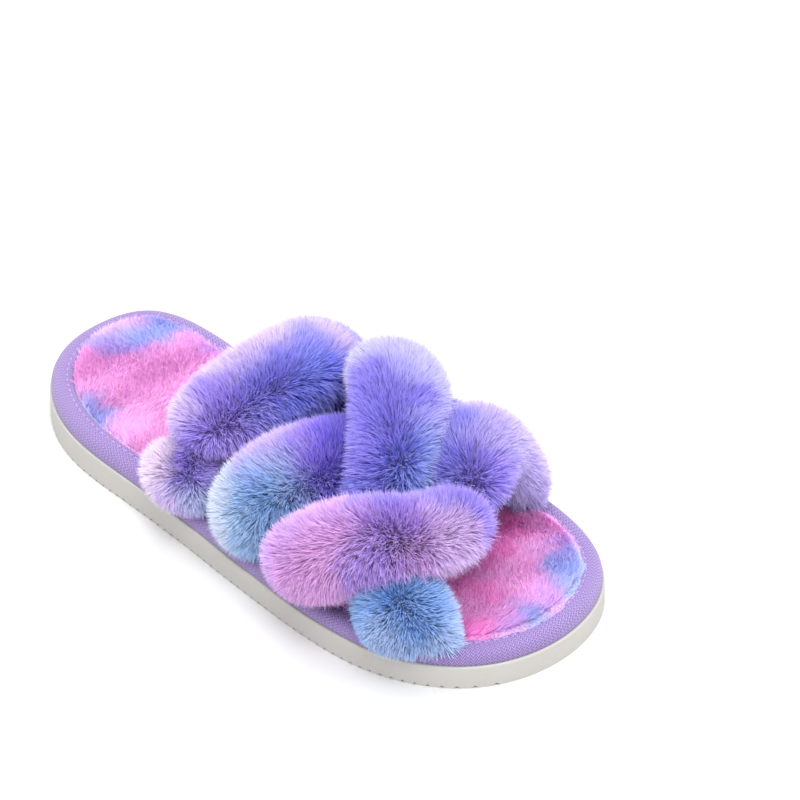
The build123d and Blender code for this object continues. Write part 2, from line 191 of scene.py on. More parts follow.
class SlipperSizes(bpy.types.PropertyGroup):
    """The sizes of the pile, the cushioning and the seam."""

    body_voxel: length_property("Body Voxel", "Grain of a roll's stuffed body", 3 * MM)
    body_draw: length_property("Body Draw-in", "How far a roll's body lies inside its sleeve", 0.2 * MM)
    body_swell: length_property("Body Swell", "Most that stuffing pushes the body out", 1.6 * MM)
    pile_length: length_property("Pile Length", "Length of the long pile", 7.8 * MM)
    pile_width: length_property("Fibre Width", "Width of a lock of long pile at its root", 0.36 * MM)
    pile_density: FloatProperty(
        name="Pile Density", description="Locks of long pile on a square millimetre", default=5.6
    )
    insole_length: length_property("Insole Pile", "Length of the insole's short pile", 3.4 * MM)
    insole_width: length_property("Insole Fibre Width", "Width of a lock of short pile", 0.49 * MM)
    insole_density: FloatProperty(
        name="Insole Density", description="Locks of short pile on a square millimetre", default=12.5
    )
    stitch_pitch: length_property("Stitch Pitch", "Spacing of the stitches round the binding", 3.4 * MM)
    knit_pitch: length_property("Knit Pitch", "Width of one column of the binding's knit", 1.9 * MM)
    stage_size: length_property("Stage Size", "Width of the floor", 6.0)
    seed: IntProperty(name="Seed", description="Seed of every scattered thing", default=7)


# ---- Shared shading groups ------------------------------------------------------


def new_group(name, inputs, outputs):
    """A shader node group with its named sockets, and its two end nodes."""
    group = bpy.data.node_groups.new(name, "ShaderNodeTree")
    for label, kind, default in inputs:
        socket = group.interface.new_socket(label, in_out="INPUT", socket_type=kind)
        socket.default_value = default
    for label, kind in outputs:
        group.interface.new_socket(label, in_out="OUTPUT", socket_type=kind)
    return group, group.nodes.new("NodeGroupInput"), group.nodes.new("NodeGroupOutput")


def math_node(tree, operation, a, b=None, clamp=False):
    """The output of a Math node whose inputs are numbers or sockets."""
    node = tree.nodes.new("ShaderNodeMath")
    node.operation = operation
    node.use_clamp = clamp
    for socket, value in zip(node.inputs, (a, b)):
        if isinstance(value, bpy.types.NodeSocket):
            tree.links.new(value, socket)
        elif value is not None:
            socket.default_value = value
    return node.outputs[0]


def mix_colours(tree, share, first, second, blend="MIX"):
    node = tree.nodes.new("ShaderNodeMix")
    node.data_type = "RGBA"
    node.blend_type = blend
    for socket, value in ((node.inputs[0], share), (node.inputs[6], first), (node.inputs[7], second)):
        if isinstance(value, bpy.types.NodeSocket):
            tree.links.new(value, socket)
        else:
            socket.default_value = value
    return node.outputs[2]


def shaded(tree, colour, level):
    """A colour times a grey level."""
    grey = tree.nodes.new("ShaderNodeCombineColor")
    for socket in grey.inputs:
        tree.links.new(level, socket)
    return mix_colours(tree, 1.0, colour, grey.outputs[0], "MULTIPLY")


def fibre_shade_group():
    """A fibre's colour from root to tip: darkened at the root as painted shade, its dye in the middle,
    frosted at the tip.
    """
    group, start, end = new_group(
        "Fibre Shade",
        (
            ("Dye", "NodeSocketColor", (0.5, 0.4, 0.9, 1.0)),
            ("Rise", "NodeSocketFloat", 0.5),
            ("Tone", "NodeSocketFloat", 0.5),
            ("Root Shade", "NodeSocketFloat", 0.45),
            ("Frost", "NodeSocketFloat", 0.35),
        ),
        (("Color", "NodeSocketColor"),),
    )
    dye, rise, tone = start.outputs["Dye"], start.outputs["Rise"], start.outputs["Tone"]
    lift = math_node(group, "POWER", rise, 0.6)
    shade = math_node(group, "SUBTRACT", 1.0, start.outputs["Root Shade"])
    depth = math_node(group, "ADD", math_node(group, "MULTIPLY", lift, shade), start.outputs["Root Shade"])
    vary = math_node(group, "ADD", math_node(group, "MULTIPLY", tone, 0.24), 0.88)
    level = math_node(group, "MULTIPLY", depth, vary)
    body = shaded(group, dye, level)
    tip = math_node(group, "POWER", rise, 3.0)
    share = math_node(group, "MULTIPLY", tip, start.outputs["Frost"], clamp=True)
    frosted = mix_colours(group, share, body, (0.90, 0.84, 1.0, 1.0))
    group.links.new(frosted, end.inputs["Color"])
    return group


def grain_group():
    """Fine grain and soft mottling on Object coordinates."""
    group, start, end = new_group(
        "Fine Grain",
        (
            ("Grain Scale", "NodeSocketFloat", 900.0),
            ("Mottle Scale", "NodeSocketFloat", 40.0),
        ),
        (("Grain", "NodeSocketFloat"), ("Mottle", "NodeSocketFloat")),
    )
    place = group.nodes.new("ShaderNodeTexCoord")
    for label in ("Grain", "Mottle"):
        noise = group.nodes.new("ShaderNodeTexNoise")
        noise.inputs["Detail"].default_value = 3.0
        group.links.new(place.outputs["Object"], noise.inputs["Vector"])
        group.links.new(start.outputs[label + " Scale"], noise.inputs["Scale"])
        group.links.new(noise.outputs["Fac"], end.inputs[label])
    return group


def knit_group():
    """Columns of slanted knitted loops. The map's U counts columns and its V counts rows."""
    group, start, end = new_group(
        "Knit Columns",
        (("Slant", "NodeSocketFloat", 2.2),),
        (("Height", "NodeSocketFloat"), ("Gap", "NodeSocketFloat")),
    )
    place = group.nodes.new("ShaderNodeUVMap")
    place.uv_map = "knit"
    split = group.nodes.new("ShaderNodeSeparateXYZ")
    group.links.new(place.outputs[0], split.inputs[0])
    column = math_node(group, "PINGPONG", split.outputs[0], 0.5)
    slanted = math_node(
        group, "ADD", split.outputs[1], math_node(group, "MULTIPLY", column, start.outputs["Slant"])
    )
    wave = math_node(group, "SINE", math_node(group, "MULTIPLY", slanted, 2 * math.pi))
    loops = math_node(group, "ADD", math_node(group, "MULTIPLY", wave, 0.5), 0.5)
    edge = math_node(group, "MULTIPLY", math_node(group, "PINGPONG", split.outputs[0], 0.5), 5.0)
    furrow = math_node(group, "ADD", math_node(group, "MINIMUM", edge, 1.0), 1.2)
    height = math_node(group, "MULTIPLY", loops, math_node(group, "MULTIPLY", furrow, 0.45))
    group.links.new(height, end.inputs["Height"])
    group.links.new(math_node(group, "SUBTRACT", 1.0, height, clamp=True), end.inputs["Gap"])
    return group


SHARED = {}


def shared(name):
    makers = {"Fibre Shade": fibre_shade_group, "Fine Grain": grain_group, "Knit Columns": knit_group}
    if name not in SHARED:
        SHARED[name] = makers[name]()
    return SHARED[name]


def new_material(name, roughness, sheen=0.0, sheen_roughness=0.5, specular=0.5):
    material = bpy.data.materials.new(name)
    material.use_nodes = True
    shader = material.node_tree.nodes["Principled BSDF"]
    shader.inputs["Roughness"].default_value = roughness
    shader.inputs["Sheen Weight"].default_value = sheen
    shader.inputs["Sheen Roughness"].default_value = sheen_roughness
    shader.inputs["Specular IOR Level"].default_value = specular
    return material, material.node_tree, shader


def placed(tree, name, **values):
    """A shared group placed in a material, with its own values."""
    node = tree.nodes.new("ShaderNodeGroup")
    node.node_tree = shared(name)
    for label, value in values.items():
        node.inputs[label.replace("_", " ")].default_value = value
    return node


def attribute(tree, name, output):
    node = tree.nodes.new("ShaderNodeAttribute")
    node.attribute_name = name
    return node.outputs[output]


def bump_into(tree, shader, height, strength, distance):
    bump = tree.nodes.new("ShaderNodeBump")
    bump.inputs["Strength"].default_value = strength
    bump.inputs["Distance"].default_value = distance
    tree.links.new(height, bump.inputs["Height"])
    tree.links.new(bump.outputs[0], shader.inputs["Normal"])


def fibre_material(name, root_shade, frost, sheen):
    """Plush fibres, coloured by the dye, rise and tone that each one carries."""
    material, tree, shader = new_material(name, 0.85, sheen, 0.4, 0.15)
    shade = placed(tree, "Fibre Shade", Root_Shade=root_shade, Frost=frost)
    tree.links.new(attribute(tree, "dye", "Color"), shade.inputs["Dye"])
    tree.links.new(attribute(tree, "rise", "Fac"), shade.inputs["Rise"])
    tree.links.new(attribute(tree, "tone", "Fac"), shade.inputs["Tone"])
    tree.links.new(shade.outputs[0], shader.inputs["Base Color"])
    return material


def backing_material(name, level):
    """The knitted ground that the pile grows from."""
    material, tree, shader = new_material(name, 0.95, 0.2, 0.5, 0.1)
    grain = placed(tree, "Fine Grain", Grain_Scale=1400.0, Mottle_Scale=60.0)
    tone = math_node(tree, "MULTIPLY", grain.outputs["Grain"], level)
    tree.links.new(shaded(tree, attribute(tree, "dye", "Color"), tone), shader.inputs["Base Color"])
    bump_into(tree, shader, grain.outputs["Grain"], 0.4, 0.3 * MM)
    return material


def plain_material(name, colour, roughness, grain_scale, contrast, bump, sheen=0.0, specular=0.4):
    """A single-coloured stuff with fine grain, mottling and bump."""
    material, tree, shader = new_material(name, roughness, sheen, 0.5, specular)
    grain = placed(tree, "Fine Grain", Grain_Scale=grain_scale, Mottle_Scale=30.0)
    both = math_node(tree, "ADD", grain.outputs["Grain"], grain.outputs["Mottle"])
    level = math_node(tree, "ADD", math_node(tree, "MULTIPLY", both, contrast), 1.0 - contrast)
    tree.links.new(shaded(tree, (*colour, 1.0), level), shader.inputs["Base Color"])
    bump_into(tree, shader, grain.outputs["Grain"], bump, 0.2 * MM)
    return material


def knit_material(name, colour):
    """Knitted tape: loops in a lighter copy of its colour as painted light, and the gaps between them in a
    darker copy as painted shade.
    """
    material, tree, shader = new_material(name, 0.85, 0.35, 0.4, 0.2)
    knit = placed(tree, "Knit Columns")
    grain = placed(tree, "Fine Grain", Grain_Scale=2200.0, Mottle_Scale=35.0)
    # Darker and lighter copies of the tape's colour: painted shade in the gaps between loops and painted
    # light on the loops.
    painted_gap_shade = (colour[0] * 0.55, colour[1] * 0.50, colour[2] * 0.70, 1.0)
    light = (colour[0] * 1.35, colour[1] * 1.4, min(colour[2] * 1.25, 0.95), 1.0)
    base = mix_colours(tree, knit.outputs["Gap"], light, painted_gap_shade)
    level = math_node(tree, "ADD", math_node(tree, "MULTIPLY", grain.outputs["Grain"], 0.3), 0.86)
    tree.links.new(shaded(tree, base, level), shader.inputs["Base Color"])
    bump_into(tree, shader, knit.outputs["Height"], 0.6, 0.35 * MM)
    return material


# ---- Reading and making meshes ----------------------------------------------------


def piece_from(bm, name, material, smooth=True):
    mesh = bpy.data.meshes.new(name)
    bm.to_mesh(mesh)
    bm.free()
    obj = bpy.data.objects.new(name, mesh)
    bpy.context.scene.collection.objects.link(obj)
    if material is not None:
        mesh.materials.append(material)
    if smooth:
        mesh.polygons.foreach_set("use_smooth", [True] * len(mesh.polygons))
    return obj


def copy_of_nodes(names):
    """The meshes of some CAD nodes in one bmesh, with their loose triangles merged."""
    bm = bmesh.new()
    for name in names:
        bm.from_mesh(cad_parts[name].data)
    bmesh.ops.remove_doubles(bm, verts=bm.verts, dist=1e-6)
    return bm


def applied(obj):
    """Makes the result of an object's modifiers its mesh."""
    graph = bpy.context.evaluated_depsgraph_get()
    mesh = bpy.data.meshes.new_from_object(obj.evaluated_get(graph))
    old = obj.data
    obj.modifiers.clear()
    obj.data = mesh
    bpy.data.meshes.remove(old)
    return obj


def remeshed(obj, voxel, material):
    """Joins a piece's solids into one skin of even grain, and gives back its mesh."""
    remesh = obj.modifiers.new("Remesh", "REMESH")
    remesh.mode = "VOXEL"
    remesh.voxel_size = voxel
    remesh.use_smooth_shade = True
    mesh = applied(obj).data
    if not mesh.materials:
        mesh.materials.append(material)
    return mesh


def points_of(mesh):
    points = np.empty(len(mesh.vertices) * 3)
    mesh.vertices.foreach_get("co", points)
    return points.reshape(-1, 3)


def normals_of(mesh):
    normals = np.empty(len(mesh.vertices) * 3)
    mesh.vertex_normals.foreach_get("vector", normals)
    return normals.reshape(-1, 3)


def set_points(mesh, points):
    mesh.vertices.foreach_set("co", np.asarray(points, np.float32).ravel())
    mesh.update()


def triangles_of(mesh):
    mesh.calc_loop_triangles()
    corners = np.empty(len(mesh.loop_triangles) * 3, np.int32)
    mesh.loop_triangles.foreach_get("vertices", corners)
    return corners.reshape(-1, 3)


STUFFING_PRESSURE = 4.0
STUFFING_FRAMES = 20


def stuffed(obj, swell, pinned_below):
    """Swells a piece as stuffing does, by a cloth simulation, and caps how far a point moves."""
    start = points_of(obj.data)
    pins = obj.vertex_groups.new(name="sewn")
    low = [int(i) for i in np.flatnonzero(start[:, 2] < pinned_below)]
    if low:
        pins.add(low, 1.0, "REPLACE")
    cloth = obj.modifiers.new("Cloth", "CLOTH")
    cloth.settings.quality = 5
    cloth.settings.mass = 0.2
    cloth.settings.use_pressure = True
    cloth.settings.uniform_pressure_force = STUFFING_PRESSURE
    cloth.settings.vertex_group_mass = "sewn"
    cloth.settings.effector_weights.gravity = 0.0
    cloth.point_cache.frame_start = 1
    cloth.point_cache.frame_end = STUFFING_FRAMES
    scene = bpy.context.scene
    for step in range(1, STUFFING_FRAMES + 1):
        scene.frame_set(step)
    graph = bpy.context.evaluated_depsgraph_get()
    moved = points_of(obj.evaluated_get(graph).data)
    obj.modifiers.clear()
    obj.vertex_groups.clear()
    scene.frame_set(1)
    shift = moved - start
    reach = np.linalg.norm(shift, axis=1)
    scale = np.minimum(1.0, swell / np.maximum(reach, 1e-9))
    if not np.isfinite(shift).all():
        raise RuntimeError("the stuffing of %s ran away" % obj.name)
    set_points(obj.data, start + shift * scale[:, None])


def smoothed(mesh, times):
    bm = bmesh.new()
    bm.from_mesh(mesh)
    for _ in range(times):
        bmesh.ops.smooth_vert(
            bm, verts=bm.verts, factor=0.5, use_axis_x=True, use_axis_y=True, use_axis_z=True
        )
    bm.to_mesh(mesh)
    bm.free()
    mesh.polygons.foreach_set("use_smooth", [True] * len(mesh.polygons))


def draw_in(mesh, middle, way, depth, width):
    """Draws a roll in round a crease that runs square to the way the roll runs."""
    points = points_of(mesh)
    centre = np.array(middle) * MM
    way = np.array(way) / np.linalg.norm(way)
    apart = points - centre
    along = apart @ way
    out = apart - along[:, None] * way
    reach = np.linalg.norm(out, axis=1)
    share = np.exp(-((along / width) ** 2) / 2) * np.clip((28 * MM - reach) / (6 * MM), 0, 1)
    pull = np.minimum(depth * share, reach * 0.6)
    set_points(mesh, points - out / np.maximum(reach, 1e-6)[:, None] * pull[:, None])


def dyes_at(points, patches, reach):
    """Each point's dye, mixed from the nearest patches."""
    dyes = bpy.context.scene.slipper_dyes
    places = np.array([patch[:3] for patch in patches], float) * MM
    colours = np.array([getattr(dyes, patch[3])[:] for patch in patches], float)
    found = np.empty((len(points), 3))
    for first in range(0, len(points), 20000):
        part = points[first : first + 20000]
        wave = part / MM
        warp = np.stack(
            [
                np.sin(wave[:, 1] * 0.55 + 1.3) + np.sin(wave[:, 2] * 0.9 + wave[:, 0] * 0.31),
                np.sin(wave[:, 0] * 0.47 + 0.4) + np.sin(wave[:, 1] * 0.83 + wave[:, 2] * 0.37),
                np.sin(wave[:, 0] * 0.71 + wave[:, 1] * 0.41 + 2.0),
            ],
            1,
        )
        part = part + warp * 1.1 * MM
        apart = ((part[:, None] - places[None]) ** 2).sum(-1)
        near = apart.min(1, keepdims=True)
        share = np.exp(-(apart - near) / (2 * reach**2))
        found[first : first + 20000] = share @ colours / share.sum(1, keepdims=True)
    return found


def add_dye(mesh, colours):
    layer = mesh.color_attributes.new("dye", "FLOAT_COLOR", "POINT")
    full = np.ones((len(colours), 4), np.float32)
    full[:, :3] = colours
    layer.data.foreach_set("color", full.ravel())


# ---- How far points are from the rolls and the sole --------------------------------

GRID_STEP = 4.0 * MM
GRID_MARGIN = 12 * MM
distance_grids = {}


def distance_grid(obj):
    """Signed distances from a closed piece on a coarse grid round it."""
    points = points_of(obj.data)
    low = points.min(0) - GRID_MARGIN
    count = np.ceil((points.max(0) + GRID_MARGIN - low) / GRID_STEP).astype(int) + 1
    tree = BVHTree.FromPolygons(
        [tuple(point) for point in points], [tuple(tri) for tri in triangles_of(obj.data)]
    )
    values = np.empty(count)
    for i in range(count[0]):
        for j in range(count[1]):
            for k in range(count[2]):
                place = Vector(low + GRID_STEP * np.array((i, j, k)))
                near, normal, _, apart = tree.find_nearest(place)
                values[i, j, k] = apart if (place - near).dot(normal) > 0 else -apart
    return low, values


def distances(grid, points):
    """The grid's distance at each point, or a large one outside it."""
    low, values = grid
    place = (points - low) / GRID_STEP
    cell = np.floor(place).astype(int)
    inside = ((cell >= 0) & (cell < np.array(values.shape) - 1)).all(1)
    cell = np.where(inside[:, None], cell, 0)
    share = np.clip(place - cell, 0, 1)
    found = np.zeros(len(points))
    for corner in np.ndindex(2, 2, 2):
        weight = np.prod(np.where(corner, share, 1 - share), 1)
        found += weight * values[tuple((cell + corner).T)]
    return np.where(inside, found, 1.0)


def rim_of(node, height, count=480):
    """Points round a CAD node at one height, found from outside, evenly spaced."""
    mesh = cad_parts[node].data
    tree = BVHTree.FromPolygons(
        [tuple(point) for point in points_of(mesh)], [tuple(tri) for tri in triangles_of(mesh)]
    )
    found = []
    for step in range(2 * count):
        angle = math.pi * step / count
        way = Vector((math.cos(angle), math.sin(angle), 0))
        hit = tree.ray_cast(way * 0.3 + Vector((0, 0, height)), -way)[0]
        if hit is not None:
            found.append((hit.x, hit.y))
    found = np.array(found)
    closed = np.vstack([found, found[:1]])
    run = np.r_[0, np.cumsum(np.linalg.norm(np.diff(closed, axis=0), axis=1))]
    even = np.linspace(0, run[-1], count, endpoint=False)
    return np.stack([np.interp(even, run, closed[:, i]) for i in (0, 1)], 1), run[-1]


def inward_of(rim):
    """The way towards the middle at each point of the rim."""
    along = np.roll(rim, -2, 0) - np.roll(rim, 2, 0)
    inward = np.stack([-along[:, 1], along[:, 0]], 1)
    return inward / np.linalg.norm(inward, axis=1, keepdims=True)


def seat_height(y):
    """Height of the outsole's seat under the binding, which falls towards the toe."""
    low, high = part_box("bottom_cloth")
    front, back = low[1], high[1]
    drop = (high[2] - low[2]) - 0.4 * MM
    return low[2] - 0.7 * MM + drop * (y - front) / (back - front)


# ---- Growing the pile ----------------------------------------------------------------


def wander(points, scale, phase):
    """A smooth field of directions that the pile leans with."""
    wave = points / scale
    return np.stack(
        [
            np.sin(wave[:, 1] * 1.7 + phase) + np.sin(wave[:, 2] * 1.3 + 2.1 * phase + wave[:, 0]),
            np.sin(wave[:, 2] * 1.9 + 1.7 * phase) + np.sin(wave[:, 0] * 1.1 + phase + wave[:, 1]),
            np.sin(wave[:, 0] * 1.5 + 0.6 * phase) + np.sin(wave[:, 1] * 1.2 + phase + wave[:, 2]),
        ],
        1,
    ) * 0.5


def scattered(mesh, density, rng, facing):
    """Places on a mesh with their normals, as many as its area asks for. facing gives each
    triangle's share of the density from its normal and middle."""
    points, normals, corners = points_of(mesh), normals_of(mesh), triangles_of(mesh)
    a, b, c = (points[corners[:, i]] for i in range(3))
    square = np.cross(b - a, c - a)
    area = np.linalg.norm(square, axis=1) / 2
    share = area * facing(square / np.maximum(2 * area, 1e-12)[:, None], (a + b + c) / 3)
    count = int(share.sum() / MM**2 * density)
    pick = np.searchsorted(np.cumsum(share) / share.sum(), rng.random(count))
    pick = np.minimum(pick, len(corners) - 1)
    r, s = rng.random(count), rng.random(count)
    flip = r + s > 1
    r, s = np.where(flip, 1 - r, r), np.where(flip, 1 - s, s)
    weights = np.stack([1 - r - s, r, s], 1)
    place = np.einsum("ni,nij->nj", weights, points[corners[pick]])
    normal = np.einsum("ni,nij->nj", weights, normals[corners[pick]])
    return place, normal / np.linalg.norm(normal, axis=1, keepdims=True)


def unit(vectors):
    """The vectors at length one."""
    return vectors / np.maximum(np.linalg.norm(vectors, axis=1, keepdims=True), 1e-12)


def fibres(place, normal, length, width, rng, lean, clump, clump_size, bend, sink, turn):
    """Root, middle and tip of each fibre, and the half-width vectors at root and middle."""
    count = len(place)
    flow = wander(place, 16 * MM, 0.7) * lean
    flow += rng.normal(0, 0.13, (count, 3)) + np.array([0, 0, -sink])
    flow -= normal * (flow * normal).sum(1, keepdims=True)
    away = unit(normal + flow)
    tip = place + away * length[:, None]
    cell = np.floor(place / clump_size + 0.35 * wander(place, 5 * MM, 2.3))
    keyed = cell @ np.array([127.1, 311.7, 74.7])
    spread = np.stack([np.sin(keyed * k) * 43758.5453 % 1.0 for k in (1.0, 1.31, 1.73)], 1)
    middle_of_cell = (cell + 0.2 + 0.6 * spread) * clump_size
    pull = middle_of_cell - place
    pull -= normal * (pull * normal).sum(1, keepdims=True)
    tip = tip + pull * clump
    droop = unit(wander(place, 7 * MM, 4.1) + rng.normal(0, 0.5, (count, 3)))
    droop -= normal * (droop * normal).sum(1, keepdims=True)
    tip = tip + droop * (bend * length)[:, None]
    middle = place + (tip - place) * 0.5 + away * (0.06 * length)[:, None] - pull * clump * 0.15
    along = unit(middle - place)
    side = unit(np.cross(along, unit(normal + rng.normal(0, turn, (count, 3)))))
    face = np.cross(side, along)
    side *= np.where((face * normal).sum(1) < 0, -1.0, 1.0)[:, None]
    return middle, tip, side * width[:, None] / 2


def pile_piece(name, material, place, middle, tip, side, dye, tone):
    """One piece of pile. Each fibre is a narrow leaf: a strip from root to middle and a point,
    or only a point if there are no middles."""
    count = len(place)
    if middle is None:
        verts = np.stack([place - side, place + side, tip], 1)
        corner, first, rises = (0, 1, 2), (0,), (0, 0, 1)
    else:
        verts = np.stack([place - side, place + side, middle - side * 0.8, middle + side * 0.8, tip], 1)
        corner, first, rises = (0, 1, 3, 2, 2, 3, 4), (0, 4), (0, 0, 0.55, 0.55, 1)
    each = np.arange(count, dtype=np.int32)[:, None]
    mesh = bpy.data.meshes.new(name)
    mesh.vertices.add(count * len(rises))
    mesh.vertices.foreach_set("co", verts.astype(np.float32).ravel())
    mesh.loops.add(count * len(corner))
    mesh.loops.foreach_set("vertex_index", (np.array(corner, np.int32) + len(rises) * each).ravel())
    mesh.polygons.add(count * len(first))
    mesh.polygons.foreach_set("loop_start", (np.array(first, np.int32) + len(corner) * each).ravel())
    mesh.polygons.foreach_set("use_smooth", np.ones(count * len(first), bool))
    mesh.update(calc_edges=True)
    add_dye(mesh, np.repeat(dye, len(rises), 0))
    rise = mesh.attributes.new("rise", "FLOAT", "POINT")
    rise.data.foreach_set("value", np.tile(np.array(rises, np.float32), count))
    tones = mesh.attributes.new("tone", "FLOAT", "POINT")
    tones.data.foreach_set("value", np.repeat(tone.astype(np.float32), len(rises)))
    mesh.materials.append(material)
    obj = bpy.data.objects.new(name, mesh)
    bpy.context.scene.collection.objects.link(obj)
    return obj


# What one step leaves for the next: the roll bodies, the insole cushion and the rim.
made = {}


# ---- Operators ---------------------------------------------------------------------------


class SLIPPER_OT_stage(bpy.types.Operator):
    """Camera, floor and soft studio light"""

    bl_idname = "slipper.stage"
    bl_label = "Stage"

    def execute(self, context):
        sizes = context.scene.slipper_sizes
        azimuth, elevation = math.radians(-43.74), math.radians(34.77)
        back = Vector(
            (
                math.sin(azimuth) * math.cos(elevation),
                -math.cos(azimuth) * math.cos(elevation),
                math.sin(elevation),
            )
        )
        right = Vector((math.cos(azimuth), math.sin(azimuth), 0))
        above = back.cross(right)
        lens = bpy.data.cameras.new("camera")
        lens.lens = 253.0
        lens.sensor_width = 36.0
        lens.clip_end = 50.0
        camera = bpy.data.objects.new("camera", lens)
        turn = Matrix((right, above, back)).transposed().to_4x4()
        camera.matrix_world = Matrix.Translation(back * 2.047 + right * 0.0327 + above * 0.0393) @ turn
        context.scene.collection.objects.link(camera)
        context.scene.camera = camera

        bm = bmesh.new()
        bmesh.ops.create_grid(bm, x_segments=1, y_segments=1, size=sizes.stage_size / 2)
        floor = piece_from(bm, "stage_floor", None, smooth=False)
        material, tree, shader = new_material("Floor", 0.9, specular=0.2)
        shader.inputs["Base Color"].default_value = (0.72, 0.72, 0.72, 1.0)
        floor.data.materials.append(material)

        world = bpy.data.worlds.new("studio")
        context.scene.world = world
        world.use_nodes = True
        world.node_tree.nodes["Background"].inputs["Color"].default_value = (1.0, 1.0, 1.0, 1.0)
        world.node_tree.nodes["Background"].inputs["Strength"].default_value = 1.0
        for name, place, size, power in (
            ("key", (-0.5, -0.7, 1.6), 0.9, 19.0),
            ("fill", (1.2, -0.4, 1.0), 1.2, 7.0),
            ("top", (0.1, 0.5, 1.9), 1.4, 17.0),
        ):
            light = bpy.data.lights.new(name, "AREA")
            light.size = size
            light.energy = power
            lamp = bpy.data.objects.new(name, light)
            lamp.location = place
            lamp.rotation_euler = (-Vector(place)).to_track_quat("-Z", "Y").to_euler()
            context.scene.collection.objects.link(lamp)
        context.scene.view_settings.view_transform = "Standard"
        return {"FINISHED"}


class SLIPPER_OT_plain_parts(bpy.types.Operator):
    """Materials of the outsole, cloth, board, stitches and tacks"""

    bl_idname = "slipper.plain_parts"
    bl_label = "Plain Parts"

    def execute(self, context):
        dyes = context.scene.slipper_dyes
        finishes = {
            "outsole": plain_material("EVA Sole", dyes.sole, 0.7, 700.0, 0.08, 0.25, specular=0.3),
            "bottom_cloth": plain_material("Lining Cloth", dyes.lining, 0.9, 1500.0, 0.3, 0.5, 0.2),
            "insole_board": plain_material("Fibre Board", dyes.board, 0.85, 800.0, 0.4, 0.4),
            "end_stitches": plain_material("Sewing Thread", dyes.thread, 0.7, 2500.0, 0.3, 0.5, 0.2),
        }
        finishes["crossing_tacks"] = finishes["end_stitches"]
        for node, material in finishes.items():
            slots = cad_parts[node].material_slots
            if not slots:
                raise RuntimeError(node + " has no material slot")
            for place in slots:
                place.material = material
        return {"FINISHED"}


class SLIPPER_OT_roll_bodies(bpy.types.Operator):
    """Stuffed bodies of the four rolls"""

    bl_idname = "slipper.roll_bodies"
    bl_label = "Roll Bodies"

    def execute(self, context):
        sizes = context.scene.slipper_sizes
        material = backing_material("Pile Backing", 0.9)
        for roll in ROLLS:
            bm = copy_of_nodes((roll + "_sleeve", roll + "_fill"))
            body = piece_from(bm, roll + "_body", material)
            mesh = remeshed(body, sizes.body_voxel, material)
            drawn_in = sizes.body_draw + SLIMMER[roll] * MM
            set_points(mesh, points_of(mesh) - normals_of(mesh) * drawn_in)
            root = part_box(roll + "_sleeve")[0][2] + 4 * MM
            stuffed(body, sizes.body_swell, root)
            smoothed(mesh, 3)
            add_dye(mesh, dyes_at(points_of(mesh), ROLL_DYES[roll], 5 * MM))
            for creased, middle, way, depth, width in CREASES:
                if creased == roll:
                    draw_in(mesh, middle, way, depth * MM, width * MM)
            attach(body, "root")
            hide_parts(roll + "_sleeve", roll + "_fill")
            made[roll] = body
            distance_grids[roll] = distance_grid(body)
        return {"FINISHED"}


CUSHION_SHOULDER = 15 * MM  # height above which the cushion is crowned
CUSHION_SWELL = 0.8 * MM
PILE_ALLOWANCE = 3.2 * MM  # how far the short pile's ground lies under the sock's surface


class SLIPPER_OT_insole_cushion(bpy.types.Operator):
    """The crowned cushion of the insole"""

    bl_idname = "slipper.insole_cushion"
    bl_label = "Insole Cushion"

    def execute(self, context):
        sizes = context.scene.slipper_sizes
        bm = copy_of_nodes(("plush_sock", "foam_pad"))
        material = backing_material("Short Pile Backing", 1.2)
        cushion = piece_from(bm, "insole_cushion", material)
        mesh = remeshed(cushion, sizes.body_voxel, material)
        points = points_of(mesh)
        top = np.clip((points[:, 2] - CUSHION_SHOULDER) / (4 * MM), 0, 1)
        points[:, 2] -= top * PILE_ALLOWANCE
        set_points(mesh, points)
        stuffed(cushion, CUSHION_SWELL, CUSHION_SHOULDER)
        smoothed(mesh, 2)
        add_dye(mesh, dyes_at(points_of(mesh), INSOLE_DYES, 3 * MM))
        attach(cushion, "root")
        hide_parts("plush_sock", "foam_pad")
        made["insole"] = cushion
        return {"FINISHED"}


